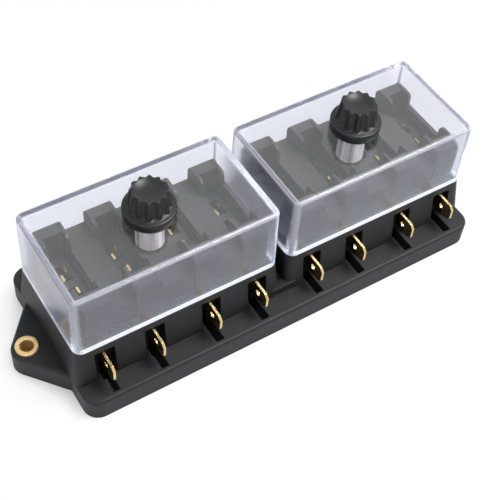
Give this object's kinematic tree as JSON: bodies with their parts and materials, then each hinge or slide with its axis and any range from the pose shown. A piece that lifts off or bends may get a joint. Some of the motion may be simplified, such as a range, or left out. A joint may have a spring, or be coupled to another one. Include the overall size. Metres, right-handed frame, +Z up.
{
  "type": "fuse box",
  "caption": "Surface-mount fuse box for flat blade fuses: one moulded base with side tabs, two clear covers held by thumb nuts, and an ear at each end for a screw.",
  "frame": {"origin": "middle of the underside, where the base stands on its mounting surface", "axes": "+X along the row of fuses towards the right ear, +Y from the front tabs to the rear tabs, +Z up out of the mounting surface"},
  "size_m": [0.1646, 0.0562, 0.0553],
  "materials": {
    "black_plastic": "fine-grained moulded plastic",
    "terminal_brass": "stamped brass, bright edges",
    "clear_plastic": "polished clear plastic",
    "nut_plastic": "smooth moulded plastic",
    "plated_bush": "satin turned",
    "stud_steel": "plated",
    "eyelet_brass": "satin rolled"
  },
  "bodies": {
    "base": {"housing": "black_plastic", "front_terminal_1": "terminal_brass", "front_terminal_2": "terminal_brass", "front_terminal_3": "terminal_brass", "front_terminal_4": "terminal_brass", "front_terminal_5": "terminal_brass", "front_terminal_6": "terminal_brass", "front_terminal_7": "terminal_brass", "front_terminal_8": "terminal_brass", "rear_terminal_1": "terminal_brass", "rear_terminal_2": "terminal_brass", "rear_terminal_3": "terminal_brass", "rear_terminal_4": "terminal_brass", "rear_terminal_5": "terminal_brass", "rear_terminal_6": "terminal_brass", "rear_terminal_7": "terminal_brass", "rear_terminal_8": "terminal_brass", "left_stud": "stud_steel", "right_stud": "stud_steel", "left_eyelet": "eyelet_brass", "right_eyelet": "eyelet_brass"},
    "left_lid": {"left_cover": "clear_plastic"},
    "right_lid": {"right_cover": "clear_plastic"},
    "left_nut": {"left_thumb_nut": "nut_plastic", "left_nut_bush": "plated_bush"},
    "right_nut": {"right_thumb_nut": "nut_plastic", "right_nut_bush": "plated_bush"}
  },
  "joints": [
    {"name": "left_lid_lift", "type": "slide", "parent": "base", "child": "left_lid", "axis": [0, 0, 1], "range_m": [0, 0.04]},
    {"name": "right_lid_lift", "type": "slide", "parent": "base", "child": "right_lid", "axis": [0, 0, 1], "range_m": [0, 0.04]},
    {"name": "left_nut_turn", "type": "hinge", "parent": "left_lid", "child": "left_nut", "pos_m": [-0.03585, 0, 0.045], "axis": [0, 0, 1], "continuous": true},
    {"name": "right_nut_turn", "type": "hinge", "parent": "right_lid", "child": "right_nut", "pos_m": [0.03585, 0, 0.045], "axis": [0, 0, 1], "continuous": true}
  ]
}
